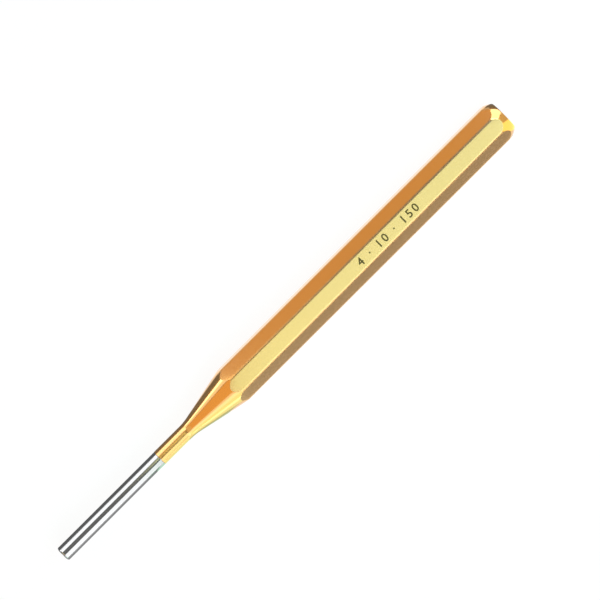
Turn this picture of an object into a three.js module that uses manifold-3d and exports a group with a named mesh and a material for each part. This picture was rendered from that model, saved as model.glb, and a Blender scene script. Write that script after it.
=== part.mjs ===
// Parallel pin punch: a lacquered octagonal shank with a turned cone and neck, and a bare hardened pin set into it.
// Millimetres, +Z up. The punch lies on one of its eight flats, with its axis along X and its head towards +X.
// The origin is on the bench, under the middle of the punch.

import * as THREE from "three";
import { mergeVertices } from "three/addons/utils/BufferGeometryUtils.js";
import Module from "manifold-3d";

// Driving dimensions of the whole punch
const overallLength = 150;
const acrossFlats = 10;
const pinDiameter = 4;
const pinLength = 33; // bare pin, from its tip to the mouth of the neck
const neckLength = 10.1; // straight neck, from its mouth to the corner where the cone would start
const coneLength = 13.7; // from that corner to where the cone meets the middle of a flat

// Details of the shank
const edgeRounding = 0.9; // radius along the eight long edges of the bar
const neckBlendReach = 1.5; // how far the blend between neck and cone reaches to each side of the corner
const headFaceDiameter = 7.7;
const headCrownLength = 3.5; // from the striking face back to the long edges
const headCrownBulge = 0.35; // how far the crown stands proud of a straight chamfer

// Details of the pin and of its seat in the shank
const tipChamfer = 0.25;
const tangDiameter = 2.4;
const tangLength = 12;
const tangChamfer = 0.3;
const tangClearance = 0.05; // around the tang, per side
const boreEndClearance = 0.3; // between the tang's end and the full-width end of the bore
const drillPointAngle = 118; // degrees, the included angle of the bore's conical end

// How far a cutting shape runs past what it cuts
const overrun = 1;

// Fineness of the round surfaces, as counts
const facetsAround = 64;
const stepsInBlend = 8;
const stepsInCrown = 8;
const stepsInEdge = 4;

// The bar's section, and a half turn in radians
const flats = 8;
const halfTurn = Math.PI;

// Sizes that follow from the driving dimensions
const apothem = acrossFlats / 2;
const halfFlatAngle = halfTurn / flats;
const neckRadius = pinDiameter / 2;
const shankLength = overallLength - pinLength;
const coneSlope = (apothem - neckRadius) / coneLength;
const cornerRadius = apothem / Math.cos(halfFlatAngle) - edgeRounding * (1 / Math.cos(halfFlatAngle) - 1);
const boreRadius = tangDiameter / 2 + tangClearance;
const boreDepth = tangLength + boreEndClearance;
const drillPointDepth = boreRadius / Math.tan(THREE.MathUtils.degToRad(drillPointAngle / 2));

const wasm = await Module();
wasm.setup();

// Turns a closed geometry into a solid that can be joined and cut.
function toSolid(geometry) {
  const bare = geometry.clone();
  bare.deleteAttribute("normal");
  bare.deleteAttribute("uv");
  const merged = mergeVertices(bare);
  return new wasm.Manifold(
    new wasm.Mesh({
      numProp: 3,
      vertProperties: new Float32Array(merged.attributes.position.array),
      triVerts: new Uint32Array(merged.index.array),
    }),
  );
}

// Turns a solid back into a geometry with flat-shaded faces.
function toGeometry(solid) {
  const mesh = solid.getMesh();
  const indexed = new THREE.BufferGeometry();
  indexed.setAttribute("position", new THREE.BufferAttribute(mesh.vertProperties, mesh.numProp));
  indexed.setIndex(new THREE.BufferAttribute(mesh.triVerts, 1));
  const geometry = indexed.toNonIndexed();
  geometry.computeVertexNormals();
  return geometry;
}

// Turns a profile about the punch's axis and lays that axis along X. In a profile, x is the distance from the axis
// and y is the distance along it.
function turned(profile) {
  const geometry = new THREE.LatheGeometry(profile, facetsAround);
  geometry.rotateZ(-halfTurn / 2);
  return geometry;
}

// The points of an arc from one point to another that stands proud of its chord by the bulge, away from the axis.
function bulgedArc(from, to, bulge, steps) {
  const middle = from.clone().add(to).divideScalar(2);
  const chord = to.clone().sub(from);
  const outwards = new THREE.Vector2(chord.y, -chord.x).normalize();
  const radius = (chord.lengthSq() / 4 + bulge * bulge) / (2 * bulge);
  const centre = middle.clone().addScaledVector(outwards, bulge - radius);
  const start = from.clone().sub(centre).angle();
  const end = to.clone().sub(centre).angle();
  const arc = new THREE.EllipseCurve(centre.x, centre.y, radius, radius, start, end, end < start);
  return arc.getPoints(steps);
}

// The bar's section: an octagon with rounded corners, with a flat at the bottom, at the top and at both sides.
function barSection() {
  const section = new THREE.Shape();
  const centreRadius = cornerRadius - edgeRounding;
  for (let i = 0; i < flats; i += 1) {
    const corner = (2 * i + 1) * halfFlatAngle;
    const centreX = centreRadius * Math.cos(corner);
    const centreY = centreRadius * Math.sin(corner);
    section.absarc(centreX, centreY, edgeRounding, corner - halfFlatAngle, corner + halfFlatAngle, false);
  }
  section.closePath();
  return section;
}

// The bar as drawn, from before the neck's mouth to past the head, with its axis along X.
function drawnBar() {
  const bar = new THREE.ExtrudeGeometry(barSection(), {
    depth: shankLength + 2 * overrun,
    bevelEnabled: false,
    curveSegments: stepsInEdge,
  });
  bar.translate(0, 0, -overrun);
  bar.rotateY(halfTurn / 2);
  return bar;
}

// What the lathe leaves of the bar: neck, blend, cone and head crown. Between cone and head it runs clear outside.
function latheEnvelope() {
  const clearRadius = cornerRadius + overrun;
  const coneEnd = neckLength + (clearRadius - neckRadius) / coneSlope;
  const crownStart = shankLength - headCrownLength;
  const corner = new THREE.Vector2(neckRadius, neckLength);
  const alongCone = new THREE.Vector2(coneSlope, 1).setLength(neckBlendReach);
  const blendEnd = corner.clone().add(alongCone);

  const outline = new THREE.Path();
  outline.moveTo(0, 0);
  outline.lineTo(neckRadius, 0);
  outline.lineTo(neckRadius, neckLength - neckBlendReach);
  outline.quadraticCurveTo(corner.x, corner.y, blendEnd.x, blendEnd.y);
  outline.lineTo(clearRadius, coneEnd);
  outline.lineTo(clearRadius, crownStart);
  const crown = bulgedArc(
    new THREE.Vector2(cornerRadius, crownStart),
    new THREE.Vector2(headFaceDiameter / 2, shankLength),
    headCrownBulge,
    stepsInCrown,
  );
  return turned([...outline.getPoints(stepsInBlend), ...crown, new THREE.Vector2(0, shankLength)]);
}

// The blind bore for the tang, drilled in from the neck's mouth.
function tangBore() {
  return turned([
    new THREE.Vector2(0, -overrun),
    new THREE.Vector2(boreRadius, -overrun),
    new THREE.Vector2(boreRadius, boreDepth),
    new THREE.Vector2(0, boreDepth + drillPointDepth),
  ]);
}

// Shank, with the mouth of its neck at x = 0
function makeShank() {
  const solid = toSolid(drawnBar()).intersect(toSolid(latheEnvelope())).subtract(toSolid(tangBore()));
  const goldLacquer = new THREE.MeshStandardMaterial({ color: 0xdfa94c, roughness: 0.3, metalness: 0.9 });
  const shank = new THREE.Mesh(toGeometry(solid), goldLacquer);
  shank.name = "shank";
  return shank;
}

// Drive pin, with its tip at x = 0, its shoulder against the neck's mouth and its tang in the bore
function makeDrivePin() {
  const pinRadius = pinDiameter / 2;
  const tangRadius = tangDiameter / 2;
  const tangEnd = pinLength + tangLength;
  const profile = [
    new THREE.Vector2(0, 0),
    new THREE.Vector2(pinRadius - tipChamfer, 0),
    new THREE.Vector2(pinRadius, tipChamfer),
    new THREE.Vector2(pinRadius, pinLength),
    new THREE.Vector2(tangRadius, pinLength),
    new THREE.Vector2(tangRadius, tangEnd - tangChamfer),
    new THREE.Vector2(tangRadius - tangChamfer, tangEnd),
    new THREE.Vector2(0, tangEnd),
  ];
  const brightSteel = new THREE.MeshStandardMaterial({ color: 0xc9cbcd, roughness: 0.15, metalness: 1 });
  const pin = new THREE.Mesh(turned(profile), brightSteel);
  pin.name = "drive_pin";
  return pin;
}

// The punch: its tip at the group's origin, its axis along X
const punch = new THREE.Group();
const drivePin = makeDrivePin();
const shank = makeShank();
shank.position.x = pinLength;
punch.add(drivePin, shank);

// Lying on a flat, with its middle over the origin
punch.position.set(-overallLength / 2, 0, apothem);

export default punch;
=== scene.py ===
"""Pin punch: a gold-lacquered octagonal shank with a turned cone and neck, and a bare steel pin set into it.

Each operator makes one piece of the punch, or the stage that it lies on. Metres, +Z up. The punch lies on
one flat of its shank, along X, with its head towards +X.
"""

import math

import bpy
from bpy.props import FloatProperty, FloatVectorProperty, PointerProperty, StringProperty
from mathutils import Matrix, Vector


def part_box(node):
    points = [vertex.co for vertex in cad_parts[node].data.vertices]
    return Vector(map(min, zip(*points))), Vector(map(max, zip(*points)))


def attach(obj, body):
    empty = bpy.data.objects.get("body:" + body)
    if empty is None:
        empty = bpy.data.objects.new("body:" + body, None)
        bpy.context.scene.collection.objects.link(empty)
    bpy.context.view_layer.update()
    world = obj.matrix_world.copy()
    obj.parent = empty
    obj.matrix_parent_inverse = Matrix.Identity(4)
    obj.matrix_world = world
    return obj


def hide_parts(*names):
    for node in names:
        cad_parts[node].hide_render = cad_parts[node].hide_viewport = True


bl_info = {
    "name": "Pin Punch",
    "version": (1, 0, 0),
    "blender": (4, 5, 0),
    "location": "View3D > Sidebar > Pin Punch",
    "description": "Makes a lacquered pin punch piece by piece, and a stage to show it on",
    "category": "Object",
}

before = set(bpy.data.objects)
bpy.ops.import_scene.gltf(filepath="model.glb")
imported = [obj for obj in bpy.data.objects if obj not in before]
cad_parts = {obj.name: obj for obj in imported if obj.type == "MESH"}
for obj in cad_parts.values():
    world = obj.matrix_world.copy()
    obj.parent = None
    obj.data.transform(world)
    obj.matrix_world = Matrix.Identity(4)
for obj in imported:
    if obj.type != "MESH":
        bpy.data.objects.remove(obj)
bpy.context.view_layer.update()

# The frame's own measures, which the sizes below start from
SHANK_LOW, SHANK_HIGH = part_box("shank")
PIN_LOW, PIN_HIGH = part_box("drive_pin")
ACROSS_FLATS = SHANK_HIGH.z - SHANK_LOW.z
PIN_DIAMETER = PIN_HIGH.z - PIN_LOW.z
MILLIMETRE = 0.001

# The bar is an octagon
FLATS = 8
HALF_FLAT = math.pi / FLATS

# Fineness of the meshes, as counts
STEPS_ON_FLAT = 12
STEPS_ON_EDGE = 8
STEPS_ON_BLEND = 20
STEPS_ON_CONE = 20
STEPS_ALONG_BAR = 40
STEPS_ON_CROWN = 20
STEPS_ON_ROUNDING = 4
STEPS_ON_FACE = 6
STEPS_ROUND_PIN = 128
STEPS_ALONG_PIN = 30
STEPS_ON_FIGURES = 6

# Where the lamps start and end, as X. Each zone is named for the part that shows it and the side it lies on
PIN_FROM_FAR_SIDE = (-0.2, -0.085)
PIN_FROM_ABOVE = (-0.17, -0.085)
PIN_FROM_NEAR_SIDE = (-0.18, -0.085)
NECK_FROM_ALL_SIDES = (-0.085, -0.05)
BLEND_FROM_ABOVE = (-0.36, -0.17)
CONE_FROM_FAR_SIDE = (-0.9, -0.2)
CONE_FROM_ABOVE = (-1.0, -0.36)
CONE_FROM_NEAR_SIDE = (-0.9, -0.18)
SHANK_FROM_ABOVE = (-0.032, 0.3)
SHANK_FROM_NEAR_SIDE = (-0.05, 0.25)
HEAD_FROM_ABOVE = (0.105, 0.3)

# Where the cards beside the punch start and end, as X, from the pin's tip, the neck's mouth or the head's end
BEYOND_TIP = PIN_LOW.x - 425 * MILLIMETRE
NECK_RIM_START = SHANK_LOW.x - 7 * MILLIMETRE
NECK_START = SHANK_LOW.x - 3 * MILLIMETRE
NECK_END = SHANK_LOW.x + 8 * MILLIMETRE
CONE_START = SHANK_LOW.x + 12 * MILLIMETRE
CONE_SHADE_END = SHANK_LOW.x + 19 * MILLIMETRE
BAR_START = SHANK_LOW.x + 22 * MILLIMETRE
OUTLINE_END = SHANK_HIGH.x + 1 * MILLIMETRE
STRIP_END = SHANK_HIGH.x + 5 * MILLIMETRE
STRIP_END_AT_SEAM = SHANK_HIGH.x + 13 * MILLIMETRE
BROWN_END = SHANK_HIGH.x + 45 * MILLIMETRE
ORANGE_END = SHANK_HIGH.x + 205 * MILLIMETRE

# How far the cards lie over the floor
CARD_LIFT = 0.2 * MILLIMETRE

WHITE = (1.0, 1.0, 1.0)


def length(name, description, default):
    """A size in metres that can be set in the panel."""
    return FloatProperty(
        name=name,
        description=description,
        default=default,
        min=0.0,
        precision=5,
        subtype="DISTANCE",
        unit="LENGTH",
    )


def share(name, description, default):
    """A plain number from 0 to 1."""
    return FloatProperty(
        name=name, description=description, default=default, min=0.0, max=1.0, subtype="FACTOR"
    )


def level(name, description, default):
    """A brightness, where 1 shows as white."""
    return FloatProperty(name=name, description=description, default=default, min=0.0)


def turn(name, description, degrees):
    """An angle, given in degrees and kept in radians."""
    return FloatProperty(
        name=name, description=description, default=math.radians(degrees), subtype="ANGLE", unit="ROTATION"
    )


def colour(name, description, default):
    """A colour in linear light."""
    return FloatVectorProperty(
        name=name, description=description, default=default, size=3, min=0.0, max=1.0, subtype="COLOR"
    )


class PunchSizes(bpy.types.PropertyGroup):
    """The sizes of the punch that can be changed by themselves."""

    edge_rounding: length("Edge rounding", "Radius along the bar's eight long edges", 0.9 * MILLIMETRE)
    neck_length: length(
        "Neck length", "Straight neck, from its mouth to where the cone would start", 10.1 * MILLIMETRE
    )
    cone_length: length("Cone length", "From the neck's end to the middle of a flat", 13.7 * MILLIMETRE)
    blend_reach: length(
        "Blend reach", "How far the blend reaches along the neck and the cone", 1.5 * MILLIMETRE
    )
    face_diameter: length("Face diameter", "The round striking face", 7.7 * MILLIMETRE)
    crown_length: length("Crown length", "From the striking face back to the long edges", 3.5 * MILLIMETRE)
    crown_bulge: length(
        "Crown bulge", "How far the crown stands proud of a straight chamfer", 0.35 * MILLIMETRE
    )
    face_rounding: length("Face rounding", "Radius round the striking face", 0.25 * MILLIMETRE)
    edge_softening: length(
        "Edge softening", "Half width of the soft edge between turned and drawn faces", 0.09 * MILLIMETRE
    )
    lacquer_film: length("Lacquer film", "Thickness of the lacquer round the neck", 0.05 * MILLIMETRE)
    tang_diameter: length("Tang diameter", "The pin's tang, inside the neck", 2.4 * MILLIMETRE)
    tang_clearance: length("Tang clearance", "Gap round the tang in its bore", 0.05 * MILLIMETRE)
    tang_chamfer: length("Tang chamfer", "Chamfer on the tang's end", 0.3 * MILLIMETRE)
    bore_end_clearance: length(
        "Bore end clearance", "Gap between the tang's end and the bore's end", 0.3 * MILLIMETRE
    )
    tip_chamfer: length("Tip chamfer", "Chamfer round the pin's flat tip", 0.25 * MILLIMETRE)
    tip_rounding: length("Tip rounding", "How far the chamfer's two edges are broken", 0.05 * MILLIMETRE)
    figure_height: length("Figure height", "Height of the size figures", 2.15 * MILLIMETRE)
    figure_place: length(
        "Figure place", "From the bar's middle of length to the middle of the figures", 34.8 * MILLIMETRE
    )
    figure_film: length("Figure film", "Thickness of the ink", 0.01 * MILLIMETRE)
    figure_weight: share(
        "Figure weight", "How much the strokes are thickened, as a share of the letter size", 0.018
    )
    figure_spacing: FloatProperty(
        name="Figure spacing", description="Letter spacing, where 1 is normal", default=1.4
    )
    figures: StringProperty(
        name="Figures",
        description="The part's own sizes: pin, across flats and length",
        default="4 · 10 · 150",
    )


class PunchFinishes(bpy.types.PropertyGroup):
    """The colours and finishes of the punch."""

    gold: colour("Gold", "Steel seen through the gold lacquer", (0.9, 0.45, 0.08))
    gold_deep: colour("Deep gold", "Steel seen through slightly thicker lacquer", (0.87, 0.41, 0.067))
    drawn_roughness: share("Drawn roughness", "The bar's drawn flats", 0.24)
    turned_roughness: share("Turned roughness", "The turned neck, cone and crown", 0.15)
    metal_share: share("Metal share", "How much of the lacquered steel looks like metal", 0.92)
    drawn_coat_roughness: share("Drawn coat roughness", "The lacquer's own surface on the drawn flats", 0.4)
    turned_coat_roughness: share(
        "Turned coat roughness", "The lacquer's own surface on the turned faces", 0.1
    )
    steel: colour("Steel", "The bare pin", (0.46, 0.465, 0.47))
    steel_roughness: share("Steel roughness", "The ground pin", 0.07)
    coat_ior: FloatProperty(
        name="Coat IOR", description="How strongly the lacquer's own surface shines", default=2.0
    )
    ink: colour("Ink", "The size figures", (0.12, 0.09, 0.025))
    ink_roughness: share("Ink roughness", "The size figures", 0.8)
    ink_shine: share("Ink shine", "The size figures", 0.2)


class PunchStage(bpy.types.PropertyGroup):
    """The floor, the lamps, the cards and the camera."""

    frame_width: length(
        "Frame width", "How much of the object's length the picture is wide", 144.6 * MILLIMETRE
    )
    camera_distance: length("Camera distance", "From the camera to the punch", 1.2)
    camera_tilt: turn("Camera tilt", "From straight above, towards +Y", 7.5)
    camera_roll: turn("Camera roll", "How steeply the punch rises to the right in the picture", 44.92)
    aim_right: length(
        "Aim right", "The picture's middle lies this far right of the punch's middle", 4.03 * MILLIMETRE
    )
    aim_up: length("Aim up", "The picture's middle lies this far above the punch's middle", 8.4 * MILLIMETRE)
    room: level("Room", "The room's own soft light", 0.05)
    floor_diffuse: share("Floor in light", "The part of the floor's white that keeps shadows", 0.15)
    floor_glow: share("Floor glow", "The part of the floor's white that is the same everywhere", 0.91)
    lamp_distance: length("Lamp distance", "From the punch to the long lamps beside and above it", 1.0)
    top_distance: length("Top distance", "From the punch to the lamps above the shank and the head", 0.15)
    card_reach: length("Card reach", "How far out the cards beside the punch go", 0.3)
    beside_pin: level("Beside the pin", "The lamps on both sides of the pin", 2.1)
    far_of_neck: level("Far side of the neck", "The lamp towards +Y that shows in the neck", 2.6)
    far_of_cone: level("Far side of the cone", "The low lamp towards +Y that shows in the cone", 2.0)
    far_of_cone_high: level(
        "Far side of the cone, high", "The higher lamp towards +Y that shows in the cone", 1.2
    )
    over_pin: level("Over the pin", "The lamp that shows as the dark band of the pin", 0.18)
    over_neck: level("Over the neck", "The lamp above the neck", 1.5)
    over_blend: level("Over the blend", "The lamp above the blend from neck to cone", 0.78)
    over_cone: level("Over the cone", "The lamp that shows in the cone's middle", 0.86)
    over_shank: level("Over the shank", "The lamps above the shank and the head", 1.9)
    near_of_neck: level("Near side of the neck", "The lamp towards -Y that shows in the neck", 1.25)
    near_of_cone_high: level("Near side of the cone, high", "The highest lamp towards -Y", 1.1)
    near_of_cone: level("Near side of the cone", "The lamp that shows as the cone's brightest stripe", 1.75)
    near_of_cone_low: level("Near side of the cone, low", "The lowest lamp towards -Y", 1.55)
    near_edge: level("Near edge", "The lamp that shows along the top flat's near edge", 3.0)
    near_of_shank: level(
        "Near side of the shank", "The low lamp that shows in the near side of the shank", 1.5
    )
    dark: level("Dark", "The cards that show as dark lines", 0.2)
    far_strip: level("Far strip", "The narrow card that shows at the outer edge of the orange flat", 0.6)
    far_flat: level("Far flat", "The card that shows in the orange flat", 0.67)
    outline: level("Outline", "The card on the floor that shows in the shank's far outline", 1.15)
    brown_flat: level("Brown flat", "The card that shows in the brown flat", 0.24)
    pin_line: level("Pin line", "The card that shows as the thin grey line along the pin", 0.45)
    pin_rim: level("Pin rim", "The card that shows beside that line, along the pin", 0.68)
    neck_rim: level("Neck rim", "The card that shows beside that line, at the neck's mouth", 0.65)
    pin_edge: level("Pin edge", "The card that shows in the pin's near outline", 1.6)
    neck_edge: level("Neck edge", "The card on the floor beside the neck", 1.4)
    cone_edge: level("Cone edge", "The card on the floor beside the cone", 0.8)
    cone_beyond: level("Beyond neck and cone", "The card further out beside neck and cone", 1.5)
    crown_near: level("Near side of the crown", "The card beyond the head towards -Y", 1.6)
    crown_middle: level("Middle of the crown", "The card straight beyond the head", 0.72)
    crown_far: level("Far side of the crown", "The card beyond the head towards +Y", 2.3)
    orange: colour("Orange", "The tint of the lamp above the cone", (1.0, 0.62, 0.22))
    deep_orange: colour("Deep orange", "The tint of the card that shows in the orange flat", (1.0, 0.6, 0.04))
    pale: colour("Pale", "The tint of the pale lamp and card", (1.0, 0.86, 0.55))
    yellow: colour("Yellow", "The tint of the yellow lamp and card", (1.0, 1.0, 0.5))
    green: colour(
        "Green", "The tint of the lamps and cards on the near side of neck and cone", (0.7, 1.0, 0.78)
    )
    cool: colour("Cool", "The tint of the lamps above the shank and the head", (0.485, 0.85, 1.0))
    blue: colour("Blue", "The tint of the lamp that shows along the top flat's near edge", (0.62, 0.67, 1.0))


def centre_height():
    """The height of the punch's axis over the floor."""
    return ACROSS_FLATS / 2


def on_axis(x, radius, angle):
    """A point at a distance and an angle round the punch's axis. Angle 0 is +Y and a quarter turn is up."""
    return Vector((x, radius * math.cos(angle), centre_height() + radius * math.sin(angle)))


def spaced(start, end, steps):
    """Evenly spaced values from start to end, both included."""
    return [start + (end - start) * i / steps for i in range(steps + 1)]


def skin(name, first_tip, rings, last_tip, finishes, finish_of_band):
    """A closed mesh through rings of equally many points, with a tip at each end. Bands of faces take their
    finish by number."""
    count = len(rings[0])
    points = [first_tip] + [p for ring in rings for p in ring] + [last_tip]
    last = len(points) - 1
    faces = []
    bands = []
    for i in range(count):
        j = (i + 1) % count
        faces.append((0, 1 + j, 1 + i))
        bands.append(0)
    for band in range(len(rings) - 1):
        low = 1 + band * count
        high = low + count
        for i in range(count):
            j = (i + 1) % count
            faces.append((low + i, low + j, high + j, high + i))
            bands.append(band + 1)
    low = 1 + (len(rings) - 1) * count
    for i in range(count):
        j = (i + 1) % count
        faces.append((low + i, low + j, last))
        bands.append(len(rings))
    mesh = bpy.data.meshes.new(name)
    mesh.from_pydata(points, [], faces)
    for finish in finishes:
        mesh.materials.append(finish)
    for polygon, band in zip(mesh.polygons, bands):
        polygon.use_smooth = True
        polygon.material_index = finish_of_band(band)
    mesh.validate()
    piece = bpy.data.objects.new(name, mesh)
    bpy.context.scene.collection.objects.link(piece)
    return piece


# The shank's shape, in its own lengths from the neck's mouth


def bar_section(sizes):
    """The octagon with its rounded edges, as an angle and a distance from the axis for each point."""
    apothem = ACROSS_FLATS / 2
    rounding = sizes.edge_rounding
    half_width = (apothem - rounding) * math.tan(HALF_FLAT)
    edge_centre = (apothem - rounding) / math.cos(HALF_FLAT)
    support = half_width - rounding / STEPS_ON_EDGE
    section = []
    for flat in range(FLATS):
        middle = 2 * HALF_FLAT * flat
        along = [-half_width] + spaced(-support, support, STEPS_ON_FLAT) + [half_width]
        for u in along:
            section.append((middle + math.atan2(u, apothem), math.hypot(u, apothem)))
        edge = middle + HALF_FLAT
        for i in range(1, STEPS_ON_EDGE):
            swing = HALF_FLAT * (2 * i / STEPS_ON_EDGE - 1)
            y = edge_centre + rounding * math.cos(swing)
            z = rounding * math.sin(swing)
            section.append((edge + math.atan2(z, y), math.hypot(y, z)))
    return section


class Crown:
    """The crowned end of the head: an arc from the long edges to the striking face, turned about the axis."""

    def __init__(self, sizes, shank_length):
        apothem = ACROSS_FLATS / 2
        edge_radius = (apothem - sizes.edge_rounding) / math.cos(HALF_FLAT) + sizes.edge_rounding
        start = Vector((shank_length - sizes.crown_length, edge_radius))
        end = Vector((shank_length, sizes.face_diameter / 2))
        chord = end - start
        outwards = Vector((-chord.y, chord.x)).normalized()
        bulge = sizes.crown_bulge
        self.radius = (chord.length_squared / 4 + bulge * bulge) / (2 * bulge)
        self.centre = (start + end) / 2 + outwards * (bulge - self.radius)
        self.end_angle = math.atan2(end.y - self.centre.y, end.x - self.centre.x)

    def angle_at(self, distance):
        """Where on the arc its distance from the axis is this."""
        return math.asin(min(1.0, (distance - self.centre.y) / self.radius))

    def point(self, angle):
        """The place along the shank and the distance from the axis, at an angle on the arc."""
        return (
            self.centre.x + self.radius * math.cos(angle),
            self.centre.y + self.radius * math.sin(angle),
        )


def blend_points(sizes, neck_radius, slope):
    """The smooth turn from neck to cone, as places along the shank and distances from the axis."""
    corner = Vector((sizes.neck_length, neck_radius))
    start = corner - Vector((sizes.blend_reach, 0))
    end = corner + Vector((1, slope)).normalized() * sizes.blend_reach
    points = []
    for s in spaced(0, 1, STEPS_ON_BLEND):
        p = start * (1 - s) ** 2 + corner * 2 * s * (1 - s) + end * s**2
        points.append((p.x, p.y))
    return points


def shank_column(sizes, edge_distance, shank_length):
    """One line along the shank's skin, from the bore's end to the striking face, where the bar alone would
    lie at edge_distance from the axis. Also says which steps are drawn bar and not turned."""
    neck_radius = PIN_DIAMETER / 2 + sizes.lacquer_film
    slope = (ACROSS_FLATS / 2 - neck_radius) / sizes.cone_length
    bore_radius = sizes.tang_diameter / 2 + sizes.tang_clearance
    bore_depth = PIN_HIGH.x - SHANK_LOW.x + sizes.bore_end_clearance
    film = sizes.lacquer_film
    soft = sizes.edge_softening

    line = [(bore_depth, bore_radius), (bore_depth / 2, bore_radius), (0.0, bore_radius)]
    line += [(0.0, neck_radius - 2 * film), (0.0, neck_radius - film)]
    for angle in spaced(0, math.pi / 2, STEPS_ON_ROUNDING)[1:]:
        line.append((film * (1 - math.cos(angle)), neck_radius - film + film * math.sin(angle)))
    blend = blend_points(sizes, neck_radius, slope)
    line += [(x, neck_radius) for x in spaced(2 * film, blend[0][0], STEPS_ON_BLEND // 2)[:-1]]
    line += blend

    # Cone up to where it leaves the bar
    cone_end = sizes.neck_length + (edge_distance - neck_radius) / slope
    for x in spaced(blend[-1][0], cone_end - soft, STEPS_ON_CONE)[1:]:
        line.append((x, neck_radius + slope * (x - sizes.neck_length)))
    line.append((cone_end, edge_distance - slope * soft / 4))
    first_drawn = len(line) - 1

    # The bar as drawn, up to the crown
    crown = Crown(sizes, shank_length)
    leave = crown.angle_at(edge_distance)
    crown_start = crown.point(leave)[0]
    line += [(x, edge_distance) for x in spaced(cone_end + soft, crown_start - soft, STEPS_ALONG_BAR)]
    dip = soft * math.tan(math.pi / 2 - leave) / 4
    line.append((crown_start, edge_distance - dip))
    last_drawn = len(line) - 1

    # Crown, and the rounding into the striking face
    soft_angle = soft / crown.radius
    rounding_angle = sizes.face_rounding / crown.radius
    for angle in spaced(leave - soft_angle, crown.end_angle + rounding_angle, STEPS_ON_CROWN):
        line.append(crown.point(angle))
    corner_x, corner_y = crown.point(crown.end_angle)
    before = Vector(line[-1])
    corner = Vector((corner_x, corner_y))
    after = Vector((corner_x, corner_y - sizes.face_rounding))
    for s in spaced(0, 1, STEPS_ON_ROUNDING)[1:]:
        p = before * (1 - s) ** 2 + corner * 2 * s * (1 - s) + after * s**2
        line.append((p.x, p.y))
    line += [(corner_x, after.y * s) for s in spaced(1, 0, STEPS_ON_FACE)[1:-1]]
    return line, first_drawn, last_drawn


def make_shank(sizes, finishes):
    """The lacquered shank, with the bore for the pin's tang."""
    mouth = SHANK_LOW.x
    shank_length = SHANK_HIGH.x - SHANK_LOW.x
    section = bar_section(sizes)
    columns = [shank_column(sizes, distance, shank_length)[0] for _, distance in section]
    _, first_drawn, last_drawn = shank_column(sizes, ACROSS_FLATS / 2, shank_length)
    rings = []
    for step in range(len(columns[0])):
        ring = []
        for (angle, _), column in zip(section, columns):
            x, radius = column[step]
            ring.append(on_axis(mouth + x, radius, angle))
        rings.append(ring)
    bore_end = mouth + columns[0][0][0]
    bore_radius = columns[0][0][1]
    drill_tip = Vector((bore_end + bore_radius / math.sqrt(3), 0, centre_height()))
    face_middle = Vector((mouth + shank_length, 0, centre_height()))

    def finish_of_band(band):
        return 0 if first_drawn < band <= last_drawn else 1

    drawn = gold_lacquer("gold_lacquer_on_drawn_flats", finishes, True)
    polished = gold_lacquer("gold_lacquer_on_turned_faces", finishes, False)
    return skin("lacquered_shank", drill_tip, rings, face_middle, [drawn, polished], finish_of_band)


def make_pin(sizes, finishes):
    """The bare pin with its chamfered tip and its tang."""
    radius = PIN_DIAMETER / 2
    tang = sizes.tang_diameter / 2
    tip = PIN_LOW.x
    shoulder = SHANK_LOW.x
    end = PIN_HIGH.x
    chamfer = sizes.tip_chamfer
    broken = sizes.tip_rounding
    outline = [(tip, (radius - chamfer) * s) for s in spaced(0, 1, STEPS_ON_FACE)[1:-1]]
    outline += [
        (tip, radius - chamfer - broken),
        (tip + broken / 4, radius - chamfer - broken / 4),
        (tip + broken, radius - chamfer + broken),
        (tip + chamfer - broken, radius - broken),
        (tip + chamfer - broken / 4, radius - broken / 4),
        (tip + chamfer + broken, radius),
    ]
    outline += [(x, radius) for x in spaced(tip + 2 * chamfer, shoulder - 2 * broken, STEPS_ALONG_PIN)]
    outline += [
        (shoulder - broken / 4, radius),
        (shoulder, radius - broken / 4),
        (shoulder, radius - broken),
        (shoulder, tang + broken),
        (shoulder, tang),
        (shoulder + broken, tang),
        (end - sizes.tang_chamfer - broken, tang),
        (end - sizes.tang_chamfer, tang),
        (end, tang - sizes.tang_chamfer),
    ]
    turns = [2 * math.pi * i / STEPS_ROUND_PIN for i in range(STEPS_ROUND_PIN)]
    rings = [[on_axis(x, r, a) for a in turns] for x, r in outline]
    first = Vector((tip, 0, centre_height()))
    last = Vector((end, 0, centre_height()))
    return skin("bare_drive_pin", first, rings, last, [bright_steel(finishes)], lambda band: 0)


def make_figures(sizes, finishes):
    """The part's own sizes in plain figures, inked on the top flat."""
    words = bpy.data.curves.new("size_figures", "FONT")
    words.body = sizes.figures
    words.align_x = "CENTER"
    words.align_y = "CENTER"
    words.resolution_u = STEPS_ON_FIGURES
    words.bevel_depth = sizes.figure_weight
    words.bevel_resolution = 0
    words.space_character = sizes.figure_spacing
    words.extrude = 1.0
    text = bpy.data.objects.new("size_figures_outline", words)
    bpy.context.scene.collection.objects.link(text)
    bpy.context.view_layer.update()
    mesh = bpy.data.meshes.new_from_object(text.evaluated_get(bpy.context.evaluated_depsgraph_get()))
    bpy.data.objects.remove(text)

    low = Vector([min(v.co[i] for v in mesh.vertices) for i in range(3)])
    high = Vector([max(v.co[i] for v in mesh.vertices) for i in range(3)])
    size = sizes.figure_height / (high.y - low.y)
    flat = size, size, sizes.figure_film / (high.z - low.z), 1
    place = Vector((sizes.figure_place, 0, ACROSS_FLATS))
    middle = Vector(((low.x + high.x) / 2, (low.y + high.y) / 2, low.z))
    mesh.transform(Matrix.Translation(place) @ Matrix.Diagonal(flat) @ Matrix.Translation(-middle))
    mesh.name = "size_figures"
    mesh.materials.clear()
    mesh.materials.append(dark_ink(finishes))
    piece = bpy.data.objects.new("size_figures", mesh)
    bpy.context.scene.collection.objects.link(piece)
    return piece


# Finishes


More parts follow.
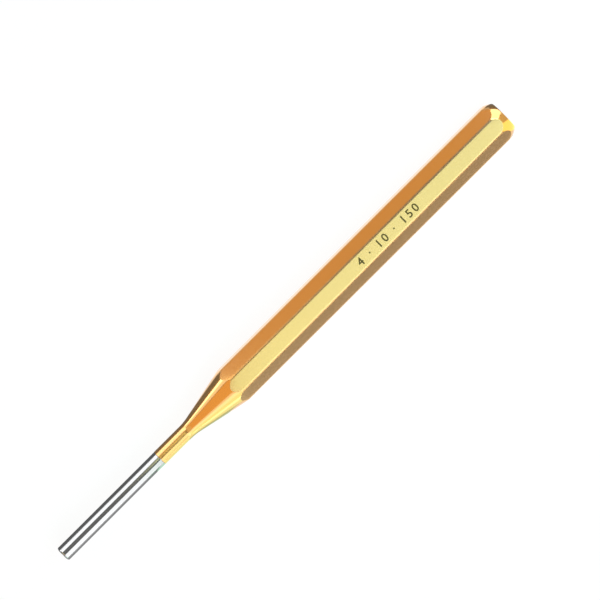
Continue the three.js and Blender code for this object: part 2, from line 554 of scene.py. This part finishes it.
class Finish:
    """A material with one main shader, and short ways to add nodes to it."""

    def __init__(self, name):
        self.material = bpy.data.materials.new(name)
        self.material.use_nodes = True
        self.tree = self.material.node_tree
        self.shader = self.tree.nodes["Principled BSDF"]

    def node(self, kind, **settings):
        made = self.tree.nodes.new(kind)
        for key, value in settings.items():
            setattr(made, key, value)
        return made

    def link(self, source, target):
        self.tree.links.new(source, target)

    def noise(self, scale, detail, roughness=0.5):
        """Noise in the object's own place, with a scale of its own along each axis, in waves per metre."""
        place = self.node("ShaderNodeTexCoord")
        mapping = self.node("ShaderNodeMapping")
        mapping.inputs["Scale"].default_value = scale
        noise = self.node("ShaderNodeTexNoise")
        noise.inputs["Scale"].default_value = 1.0
        noise.inputs["Detail"].default_value = detail
        noise.inputs["Roughness"].default_value = roughness
        self.link(place.outputs["Object"], mapping.inputs["Vector"])
        self.link(mapping.outputs["Vector"], noise.inputs["Vector"])
        return noise.outputs["Fac"]

    def ranged(self, value, low, high):
        """The same value, moved from 0..1 to low..high."""
        ranged = self.node("ShaderNodeMapRange")
        ranged.inputs["To Min"].default_value = low
        ranged.inputs["To Max"].default_value = high
        self.link(value, ranged.inputs["Value"])
        return ranged.outputs["Result"]

    def mixed(self, value, low, high):
        """A colour between two, by a value from 0 to 1."""
        mix = self.node("ShaderNodeMix", data_type="RGBA")
        mix.inputs[6].default_value = (*low, 1)
        mix.inputs[7].default_value = (*high, 1)
        self.link(value, mix.inputs["Factor"])
        return mix.outputs[2]

    def bump(self, height, distance, strength=1.0):
        """Relief of this depth in metres."""
        bump = self.node("ShaderNodeBump")
        bump.inputs["Strength"].default_value = strength
        bump.inputs["Distance"].default_value = distance
        self.link(height, bump.inputs["Height"])
        return bump.outputs["Normal"]


def gold_lacquer(name, finishes, drawn):
    """Transparent gold lacquer over steel: satin along the drawn flats, bright on the turned faces."""
    finish = Finish(name)
    shader = finish.shader
    shader.inputs["Metallic"].default_value = finishes.metal_share
    shader.inputs["Coat Weight"].default_value = 1.0
    shader.inputs["Coat IOR"].default_value = finishes.coat_ior
    cloud_scale = (60, 400, 400)
    cloud = finish.noise(cloud_scale, detail=3)
    finish.link(finish.mixed(cloud, finishes.gold_deep, finishes.gold), shader.inputs["Base Color"])
    if drawn:
        shader.inputs["Coat Roughness"].default_value = finishes.drawn_coat_roughness
        lines_along_bar = (150, 9000, 9000)
        grain = finish.noise(lines_along_bar, detail=4, roughness=0.7)
        roughness = finishes.drawn_roughness
        depth = 0.0006 * MILLIMETRE
    else:
        shader.inputs["Coat Roughness"].default_value = finishes.turned_coat_roughness
        lines_round_axis = (12000, 300, 300)
        grain = finish.noise(lines_round_axis, detail=3, roughness=0.6)
        roughness = finishes.turned_roughness
        depth = 0.0002 * MILLIMETRE
    spread = 0.2
    least = (1 - spread) * roughness
    most = (1 + spread) * roughness
    finish.link(finish.ranged(grain, least, most), shader.inputs["Roughness"])
    finish.link(finish.bump(grain, depth), shader.inputs["Normal"])
    return finish.material


def bright_steel(finishes):
    """The bare pin, ground round its axis."""
    finish = Finish("bright_ground_steel")
    shader = finish.shader
    shader.inputs["Metallic"].default_value = 1.0
    cloud_scale = (120, 120, 120)
    cloud = finish.noise(cloud_scale, detail=4)
    colour_spread = 0.07
    low = [(1 - colour_spread) * c for c in finishes.steel]
    high = [min(1.0, (1 + colour_spread) * c) for c in finishes.steel]
    finish.link(finish.mixed(cloud, low, high), shader.inputs["Base Color"])
    marks_round_axis = (14000, 200, 200)
    marks = finish.noise(marks_round_axis, detail=4, roughness=0.7)
    spread = 0.3
    least = (1 - spread) * finishes.steel_roughness
    most = (1 + spread) * finishes.steel_roughness
    depth = 0.0003 * MILLIMETRE
    finish.link(finish.ranged(marks, least, most), shader.inputs["Roughness"])
    finish.link(finish.bump(marks, depth), shader.inputs["Normal"])
    return finish.material


def dark_ink(finishes):
    """Dark ink with a slightly uneven print."""
    finish = Finish("dark_ink")
    shader = finish.shader
    shader.inputs["Roughness"].default_value = finishes.ink_roughness
    shader.inputs["Specular IOR Level"].default_value = finishes.ink_shine
    print_scale = (3000, 3000, 3000)
    print_noise = finish.noise(print_scale, detail=3)
    most = 1.5
    paler = [min(1.0, most * c) for c in finishes.ink]
    finish.link(finish.mixed(print_noise, finishes.ink, paler), shader.inputs["Base Color"])
    return finish.material


# Stage


def floor_finish(stage):
    """A white floor: one part takes light and shadow, the other is what camera and shine see of it."""
    finish = Finish("white_floor")
    tree = finish.tree
    tree.nodes.remove(finish.shader)
    path = finish.node("ShaderNodeLightPath")
    camera_or_glossy = finish.node("ShaderNodeMath", operation="ADD")
    finish.link(path.outputs["Is Camera Ray"], camera_or_glossy.inputs[0])
    finish.link(path.outputs["Is Glossy Ray"], camera_or_glossy.inputs[1])
    seen = finish.node("ShaderNodeMath", operation="ADD", use_clamp=True)
    finish.link(camera_or_glossy.outputs[0], seen.inputs[0])
    finish.link(path.outputs["Is Transmission Ray"], seen.inputs[1])
    strength = finish.node("ShaderNodeMath", operation="MULTIPLY")
    strength.inputs[1].default_value = stage.floor_glow
    finish.link(seen.outputs[0], strength.inputs[0])
    glow = finish.node("ShaderNodeEmission")
    finish.link(strength.outputs[0], glow.inputs["Strength"])
    lit = finish.node("ShaderNodeBsdfDiffuse")
    lit.inputs["Color"].default_value = (*[stage.floor_diffuse] * 3, 1)
    both = finish.node("ShaderNodeAddShader")
    finish.link(glow.outputs[0], both.inputs[0])
    finish.link(lit.outputs[0], both.inputs[1])
    finish.link(both.outputs[0], tree.nodes["Material Output"].inputs["Surface"])
    return finish.material


def card_finish(name, brightness, tint):
    """A card of one even colour."""
    finish = Finish(name)
    finish.tree.nodes.remove(finish.shader)
    glow = finish.node("ShaderNodeEmission")
    glow.inputs["Color"].default_value = (*tint, 1)
    glow.inputs["Strength"].default_value = brightness
    finish.link(glow.outputs[0], finish.tree.nodes["Material Output"].inputs["Surface"])
    return finish.material


def make_floor(stage):
    """A round floor that rises to a low wall far away, so that it is all that stands behind the punch."""
    flat_radius = 1.5
    wall_radius = 2.6
    wall_height = 0.7
    steps_round = 96
    steps_out = 24
    points = [(0, 0, 0)]
    for radius in spaced(0, wall_radius, steps_out)[1:]:
        rise = max(0.0, (radius - flat_radius) / (wall_radius - flat_radius))
        for i in range(steps_round):
            a = 2 * math.pi * i / steps_round
            points.append((radius * math.cos(a), radius * math.sin(a), wall_height * rise**3))
    faces = [(0, 1 + i, 1 + (i + 1) % steps_round) for i in range(steps_round)]
    for ring in range(steps_out - 1):
        low = 1 + ring * steps_round
        high = low + steps_round
        for i in range(steps_round):
            j = (i + 1) % steps_round
            faces.append((low + i, high + i, high + j, low + j))
    mesh = bpy.data.meshes.new("floor")
    mesh.from_pydata(points, [], faces)
    for polygon in mesh.polygons:
        polygon.use_smooth = True
    mesh.materials.append(floor_finish(stage))
    floor = bpy.data.objects.new("floor", mesh)
    bpy.context.scene.collection.objects.link(floor)


def add_card(name, points, brightness, tint=WHITE):
    """A card that only shine shows, with its corners at these points."""
    mesh = bpy.data.meshes.new(name)
    mesh.from_pydata(points, [], [tuple(range(len(points)))])
    mesh.materials.append(card_finish(name, brightness, tint))
    card = bpy.data.objects.new(name, mesh)
    bpy.context.scene.collection.objects.link(card)
    card.visible_camera = False
    card.visible_diffuse = False
    card.visible_shadow = False
    card.visible_transmission = False


def make_side_card(name, zone, near, far, rise, brightness, tint=WHITE, near_at_end=None):
    """A card along the punch, from close beside it on the floor out to a far edge, rising by this many
    degrees. A negative near and far lie towards -Y. Its near edge can run slantwise."""
    start, end = zone
    if near_at_end is None:
        near_at_end = near
    low = CARD_LIFT
    high = CARD_LIFT + abs(far - near) * math.tan(math.radians(rise))
    corners = [(start, near, low), (end, near_at_end, low), (end, far, high), (start, far, high)]
    add_card(name, corners, brightness, tint)


def make_fan_card(name, directions, near, far, rise, brightness, tint=WHITE):
    """A card beyond the head, between two directions as seen from it, rising by this many degrees. Direction
    0 is +X and 90 is +Y."""
    first, last = (math.radians(direction) for direction in directions)
    points = []
    for radius, direction in [(near, first), (far, first), (far, last), (near, last)]:
        x = SHANK_HIGH.x + radius * math.cos(direction)
        y = radius * math.sin(direction)
        z = CARD_LIFT + (radius - near) * math.tan(math.radians(rise))
        points.append((x, y, z))
    add_card(name, points, brightness, tint)


def make_lamp(name, zone, leans, distance, brightness, tint=WHITE):
    """A soft lamp along a zone of the punch, between two angles as the punch sees it, in degrees from straight
    above towards -Y. Its brightness is that of its surface, where 1 shows as white."""
    start, end = zone
    lean_from, lean_to = (math.radians(lean) for lean in leans)
    lean = (lean_from + lean_to) / 2
    width = 2 * distance * math.tan((lean_to - lean_from) / 2)
    run = end - start
    light = bpy.data.lights.new(name, "AREA")
    light.shape = "RECTANGLE"
    light.size = run
    light.size_y = width
    light.energy = brightness * run * width * math.pi
    light.color = tint
    lamp = bpy.data.objects.new(name, light)
    middle = Vector(((start + end) / 2, 0, centre_height()))
    direction = Vector((0, -math.sin(lean), math.cos(lean)))
    lamp.matrix_world = Matrix.Translation(middle + direction * distance) @ Matrix.Rotation(lean, 4, "X")
    lamp.visible_camera = False
    bpy.context.scene.collection.objects.link(lamp)


def make_room(stage):
    """The plain room light."""
    world = bpy.data.worlds.new("room")
    world.use_nodes = True
    background = world.node_tree.nodes["Background"]
    background.inputs["Color"].default_value = (*[stage.room] * 3, 1)
    bpy.context.scene.world = world


def make_camera(stage):
    """A long lens, almost straight above the punch."""
    data = bpy.data.cameras.new("camera")
    data.lens = stage.camera_distance * data.sensor_width / stage.frame_width
    data.clip_start = 0.05
    data.clip_end = 20
    back = Vector((0, math.sin(stage.camera_tilt), math.cos(stage.camera_tilt)))
    along = Vector((1, 0, 0))
    across = back.cross(along)
    roll = stage.camera_roll
    right = along * math.cos(roll) - across * math.sin(roll)
    up = along * math.sin(roll) + across * math.cos(roll)
    aim = Vector((0, 0, centre_height())) + right * stage.aim_right + up * stage.aim_up
    camera = bpy.data.objects.new("camera", data)
    turned = Matrix((right, up, back)).transposed().to_4x4()
    camera.matrix_world = Matrix.Translation(aim + back * stage.camera_distance) @ turned
    bpy.context.scene.collection.objects.link(camera)
    bpy.context.scene.camera = camera


def make_lamps(stage):
    """Soft lamps in rows along the punch, each for one of its parts. The far side is +Y, the near side -Y."""
    away = stage.lamp_distance
    close = stage.top_distance

    # Far side
    make_lamp("pin_lamp_far", PIN_FROM_FAR_SIDE, (-76, -33), away, stage.beside_pin)
    make_lamp("neck_lamp_far", NECK_FROM_ALL_SIDES, (-80, -36), away, stage.far_of_neck)
    make_lamp("cone_lamp_far_low", CONE_FROM_FAR_SIDE, (-86, -70), away, stage.far_of_cone)
    make_lamp("cone_lamp_far_high", CONE_FROM_FAR_SIDE, (-70, -51), away, stage.far_of_cone_high)

    # Above
    make_lamp("pin_lamp_above", PIN_FROM_ABOVE, (-33, 20), away, stage.over_pin)
    make_lamp("neck_lamp_above", NECK_FROM_ALL_SIDES, (-30, 3), away, stage.over_neck, stage.yellow)
    make_lamp("blend_lamp_above", BLEND_FROM_ABOVE, (-42, 17), away, stage.over_blend, stage.pale)
    make_lamp("cone_lamp_above", CONE_FROM_ABOVE, (-48, 20), away, stage.over_cone, stage.orange)
    make_lamp("shank_lamp_above", SHANK_FROM_ABOVE, (0, 31), close, stage.over_shank, stage.cool)
    make_lamp("head_lamp_above", HEAD_FROM_ABOVE, (-40, 0), close, stage.over_shank, stage.cool)

    # Near side
    make_lamp("pin_lamp_near", PIN_FROM_NEAR_SIDE, (20, 78), away, stage.beside_pin)
    make_lamp("neck_lamp_near", NECK_FROM_ALL_SIDES, (5, 88), away, stage.near_of_neck, stage.green)
    make_lamp("cone_lamp_near_high", CONE_FROM_NEAR_SIDE, (20, 32), away, stage.near_of_cone_high)
    make_lamp("cone_lamp_near", CONE_FROM_NEAR_SIDE, (32, 51), away, stage.near_of_cone)
    make_lamp("cone_lamp_near_low", CONE_FROM_NEAR_SIDE, (51, 88), away, stage.near_of_cone_low, stage.green)
    make_lamp("shank_lamp_near", SHANK_FROM_NEAR_SIDE, (25, 54), away, stage.near_edge, stage.blue)
    make_lamp("shank_lamp_near_low", SHANK_FROM_NEAR_SIDE, (74, 87), away, stage.near_of_shank)


def make_far_side_cards(stage):
    """Cards towards +Y: dark ones beside pin, neck and cone, and the ones that the orange flat shows."""
    reach = stage.card_reach
    beside_pin = 3 * MILLIMETRE
    beside_cone = 4 * MILLIMETRE
    beside_cone_end = 11.5 * MILLIMETRE
    slight = 5
    dark = stage.dark
    cone_zone = (CONE_START, BAR_START)
    make_side_card("dark_card", (BEYOND_TIP, CONE_START), beside_pin, reach, slight, dark)
    make_side_card("dark_cone_card", cone_zone, beside_cone, reach, slight, dark, near_at_end=beside_cone_end)

    # A narrow strip along the shank, and from its far edge a card that widens towards the head
    near = 13 * MILLIMETRE
    seam = 23 * MILLIMETRE
    slope = math.tan(math.radians(20))
    low = CARD_LIFT
    seam_high = low + (seam - near) * slope
    high = low + (reach - near) * slope
    seam_start = (BAR_START, seam, seam_high)
    seam_end = (STRIP_END_AT_SEAM, seam, seam_high)
    strip = [(BAR_START, near, low), (STRIP_END, near, low), seam_end, seam_start]
    orange = [seam_start, seam_end, (ORANGE_END, reach, high), (BAR_START, reach, high)]
    add_card("strip_card", strip, stage.far_strip)
    add_card("orange_card", orange, stage.far_flat, stage.deep_orange)

    # On the floor, between the shank and the strip
    bar_zone = (BAR_START, OUTLINE_END)
    close = 5.3 * MILLIMETRE
    ground_end = 12 * MILLIMETRE
    level_ground = 0
    make_side_card("outline_card", bar_zone, close, ground_end, level_ground, stage.outline)


def make_near_side_cards(stage):
    """Cards towards -Y, which the brown flat and the near outline show."""
    reach = stage.card_reach
    green = stage.green
    level_ground = 0
    slight = 3

    # Beside the bar
    bar_zone = (CONE_SHADE_END, BROWN_END)
    brown_near = -34 * MILLIMETRE
    brown_rise = 12
    make_side_card("brown_card", bar_zone, brown_near, -reach, brown_rise, stage.brown_flat)

    # Beside the pin, from the floor close to it outwards
    pin_zone = (BEYOND_TIP, NECK_START)
    pin_rim_zone = (BEYOND_TIP, NECK_RIM_START)
    neck_rim_zone = (NECK_RIM_START, NECK_START)
    line_start = -5 * MILLIMETRE
    line_end = -30 * MILLIMETRE
    rim_end = -50 * MILLIMETRE
    edge_start = -51 * MILLIMETRE
    rim_rise = 37
    make_side_card("pin_line_card", pin_zone, line_start, line_end, level_ground, stage.pin_line)
    make_side_card("pin_rim_card", pin_rim_zone, line_end, rim_end, rim_rise, stage.pin_rim)
    make_side_card("neck_rim_card", neck_rim_zone, line_end, rim_end, rim_rise, stage.neck_rim, green)
    make_side_card("pin_edge_card", pin_zone, edge_start, -reach, slight, stage.pin_edge)

    # Beside neck and cone
    neck_zone = (NECK_START, NECK_END)
    cone_zone = (NECK_END, CONE_SHADE_END)
    both_zones = (NECK_START, CONE_SHADE_END)
    close = -4 * MILLIMETRE
    ground_end = -20 * MILLIMETRE
    make_side_card("neck_edge_card", neck_zone, close, ground_end, level_ground, stage.neck_edge, green)
    make_side_card("cone_edge_card", cone_zone, close, ground_end, level_ground, stage.cone_edge, green)
    make_side_card("neck_and_cone_card", both_zones, ground_end, -reach, slight, stage.cone_beyond, green)


def make_head_cards(stage):
    """Cards beyond the head, which the crown shows. Near and far are measured from the striking face."""
    near = 3 * MILLIMETRE
    ground_end = 45 * MILLIMETRE
    far = 250 * MILLIMETRE
    level_ground = 0
    steep = 55
    less_steep = 46
    make_fan_card("crown_card_near", (-85, -28), near, far, steep, stage.crown_near, stage.yellow)
    make_fan_card("crown_card_middle", (-28, 16), near, far, less_steep, stage.crown_middle, stage.pale)
    make_fan_card("crown_card_far", (16, 75), ground_end, far, steep, stage.crown_far)
    make_fan_card("crown_card_dark", (12, 85), near, ground_end, level_ground, stage.dark)


def make_stage(stage):
    """Floor, lamps, cards, room and camera."""
    make_floor(stage)
    make_lamps(stage)
    make_far_side_cards(stage)
    make_near_side_cards(stage)
    make_head_cards(stage)
    make_room(stage)
    make_camera(stage)
    bpy.context.scene.view_settings.view_transform = "Standard"


# Operators and panel


class PUNCH_OT_shank(bpy.types.Operator):
    """Make the lacquered shank, which stands for the plain solid"""

    bl_idname = "punch.shank"
    bl_label = "Lacquered shank"

    def execute(self, context):
        piece = make_shank(context.scene.punch_sizes, context.scene.punch_finishes)
        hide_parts("shank")
        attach(piece, "root")
        return {"FINISHED"}


class PUNCH_OT_pin(bpy.types.Operator):
    """Make the bare steel pin, which stands for the plain solid"""

    bl_idname = "punch.pin"
    bl_label = "Bare drive pin"

    def execute(self, context):
        piece = make_pin(context.scene.punch_sizes, context.scene.punch_finishes)
        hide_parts("drive_pin")
        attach(piece, "root")
        return {"FINISHED"}


class PUNCH_OT_figures(bpy.types.Operator):
    """Ink the plain size figures on the top flat"""

    bl_idname = "punch.figures"
    bl_label = "Size figures"

    def execute(self, context):
        piece = make_figures(context.scene.punch_sizes, context.scene.punch_finishes)
        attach(piece, "root")
        return {"FINISHED"}


class PUNCH_OT_stage(bpy.types.Operator):
    """Make the floor, the lamps, the cards and the camera"""

    bl_idname = "punch.stage"
    bl_label = "Stage"

    def execute(self, context):
        make_stage(context.scene.punch_stage)
        return {"FINISHED"}


class PUNCH_PT_panel(bpy.types.Panel):
    """Lists the pieces of the punch and their settings"""

    bl_idname = "PUNCH_PT_panel"
    bl_label = "Pin Punch"
    bl_space_type = "VIEW_3D"
    bl_region_type = "UI"
    bl_category = "Pin Punch"

    def draw(self, context):
        layout = self.layout
        for operator in OPERATORS:
            layout.operator(operator.bl_idname)
        for group in (context.scene.punch_sizes, context.scene.punch_finishes, context.scene.punch_stage):
            box = layout.box()
            for key in group.__annotations__:
                box.prop(group, key)


GROUPS = {"punch_sizes": PunchSizes, "punch_finishes": PunchFinishes, "punch_stage": PunchStage}
OPERATORS = (PUNCH_OT_shank, PUNCH_OT_pin, PUNCH_OT_figures, PUNCH_OT_stage)
CLASSES = (*GROUPS.values(), *OPERATORS, PUNCH_PT_panel)


def register():
    for made in CLASSES:
        bpy.utils.register_class(made)
    for name, group in GROUPS.items():
        setattr(bpy.types.Scene, name, PointerProperty(type=group))


def unregister():
    for name in GROUPS:
        delattr(bpy.types.Scene, name)
    for made in reversed(CLASSES):
        bpy.utils.unregister_class(made)


def main():
    """Makes the whole punch and its stage."""
    register()
    bpy.ops.punch.shank()
    bpy.ops.punch.pin()
    bpy.ops.punch.figures()
    bpy.ops.punch.stage()
    bpy.context.view_layer.update()


if __name__ == "__main__":
    main()
